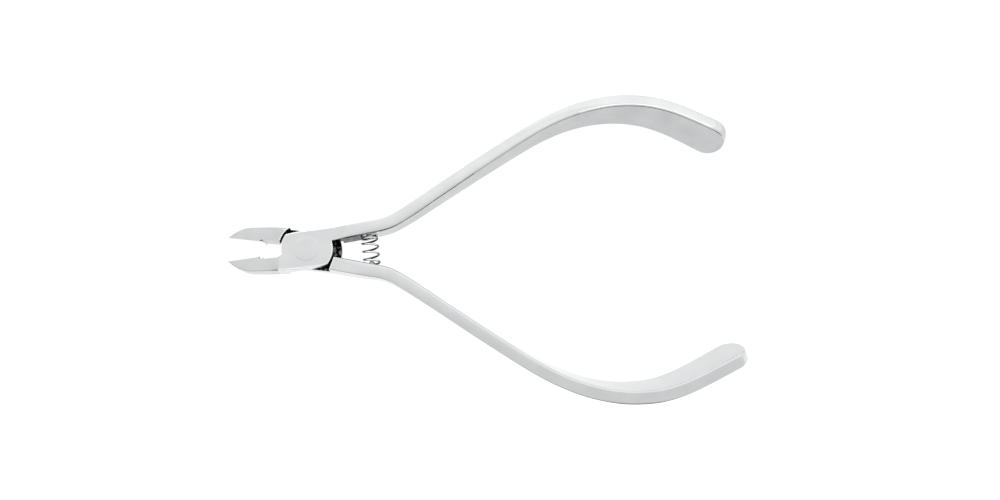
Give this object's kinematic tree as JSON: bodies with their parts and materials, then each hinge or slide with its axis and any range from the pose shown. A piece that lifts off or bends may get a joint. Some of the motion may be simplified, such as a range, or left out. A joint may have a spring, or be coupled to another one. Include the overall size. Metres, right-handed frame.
{
  "type": "sprue nippers",
  "caption": "All-steel sprue nippers: lap-jointed halves with tapered side-cutting jaws, a flush pivot rivet, a barrel return spring on pegs and bowed, twisted flat handles.",
  "frame": {"origin": "on the pivot axis, at the rear face of the joint", "axes": "+X along the tool from the joint towards the palm ends of the handles, +Y towards the handle of the front half, +Z out of the joint's front face"},
  "size_m": [0.1182, 0.0724, 0.0098],
  "materials": {
    "polished_steel": "bright satin-polished stainless steel with fine grinding lines on the jaws and joint",
    "rivet_steel": "ground flush and polished",
    "spring_wire": "bright drawn spring wire"
  },
  "bodies": {
    "front_lever": {"front_half": "polished_steel", "pivot_rivet": "rivet_steel", "upper_spring_peg": "rivet_steel", "barrel_spring": "spring_wire"},
    "rear_lever": {"rear_half": "polished_steel", "lower_spring_peg": "rivet_steel"}
  },
  "joints": [
    {"name": "jaw_pivot", "type": "hinge", "parent": "front_lever", "child": "rear_lever", "pos_m": [0, 0, 0.0034], "axis": [0, 0, 1], "range_deg": [-4, 17.3], "stiffness_Nm_per_rad": 0.7, "deforming": ["barrel_spring"]}
  ]
}
